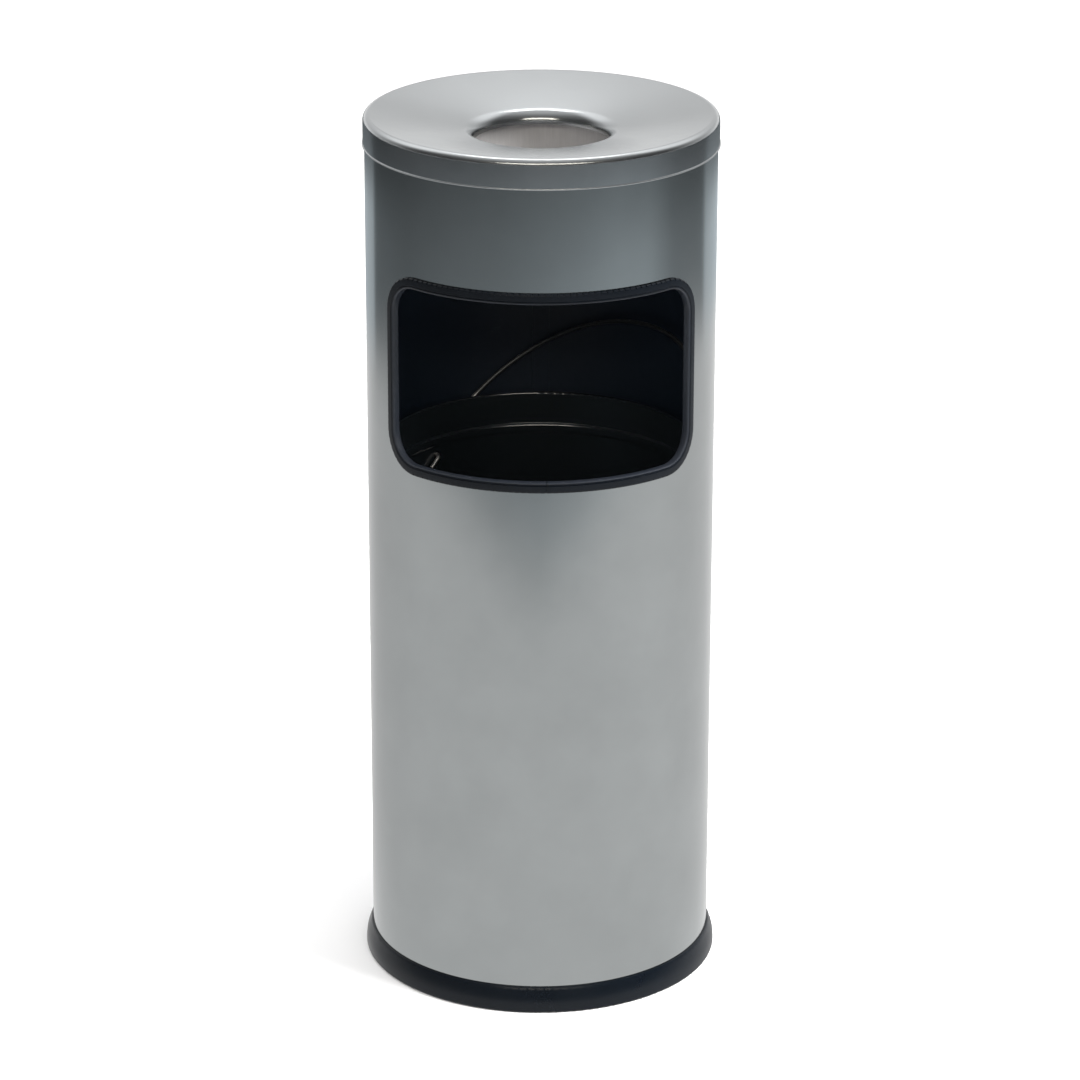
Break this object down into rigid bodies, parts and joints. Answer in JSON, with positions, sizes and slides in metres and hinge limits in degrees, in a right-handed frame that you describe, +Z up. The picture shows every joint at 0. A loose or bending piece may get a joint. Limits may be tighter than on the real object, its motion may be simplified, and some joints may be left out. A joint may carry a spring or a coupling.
{
  "type": "ashtray bin",
  "caption": "Round metal litter bin with a wide rubber-edged side opening, a lift-out bucket with a wire bail, and a funnel lid over a hanging ash cup.",
  "frame": {"origin": "on the floor, at the middle of the foot ring", "axes": "+Z up along the shell, -Y out through the litter opening, +X to the right as seen from the front"},
  "size_m": [0.2482, 0.2482, 0.61],
  "materials": {
    "shell_finish": "silver satin lacquer with a fine upright grain",
    "lid_steel": "satin stainless",
    "cup_steel": "satin, a little duller inside",
    "black_enamel": "glossy black paint",
    "bare_steel": "bright drawn wire and zinc",
    "trim_rubber": "black, slightly shiny",
    "foot_plastic": "black, satin"
  },
  "bodies": {
    "shell": {"body_shell": "shell_finish", "opening_trim": "trim_rubber", "trim_core": "bare_steel", "base_plate": "black_enamel", "base_ring": "foot_plastic", "base_screws": "bare_steel"},
    "bucket": {"bucket_wall": "black_enamel", "bucket_rim_wire": "bare_steel", "bucket_bottom": "black_enamel"},
    "bail": {"bail_handle": "bare_steel"},
    "ash_ring": {"ash_ring": "cup_steel"},
    "ash_cup": {"ash_cup": "cup_steel"},
    "lid": {"funnel_lid": "lid_steel"}
  },
  "joints": [
    {"name": "bucket_lift", "type": "slide", "parent": "shell", "child": "bucket", "axis": [0, 0, 1], "range_m": [0, 0.62]},
    {"name": "bail_swing", "type": "hinge", "parent": "bucket", "child": "bail", "pos_m": [0, 0, 0.34], "axis": [0.6884, -0.7254, 0], "range_deg": [0, 87]},
    {"name": "ash_ring_lift", "type": "slide", "parent": "bucket", "child": "ash_ring", "axis": [0, 0, 1], "range_m": [0, 0.1]},
    {"name": "ash_cup_lift", "type": "slide", "parent": "ash_ring", "child": "ash_cup", "axis": [0, 0, 1], "range_m": [0, 0.09]},
    {"name": "lid_lift", "type": "slide", "parent": "ash_cup", "child": "lid", "axis": [0, 0, 1], "range_m": [0, 0.06]}
  ]
}
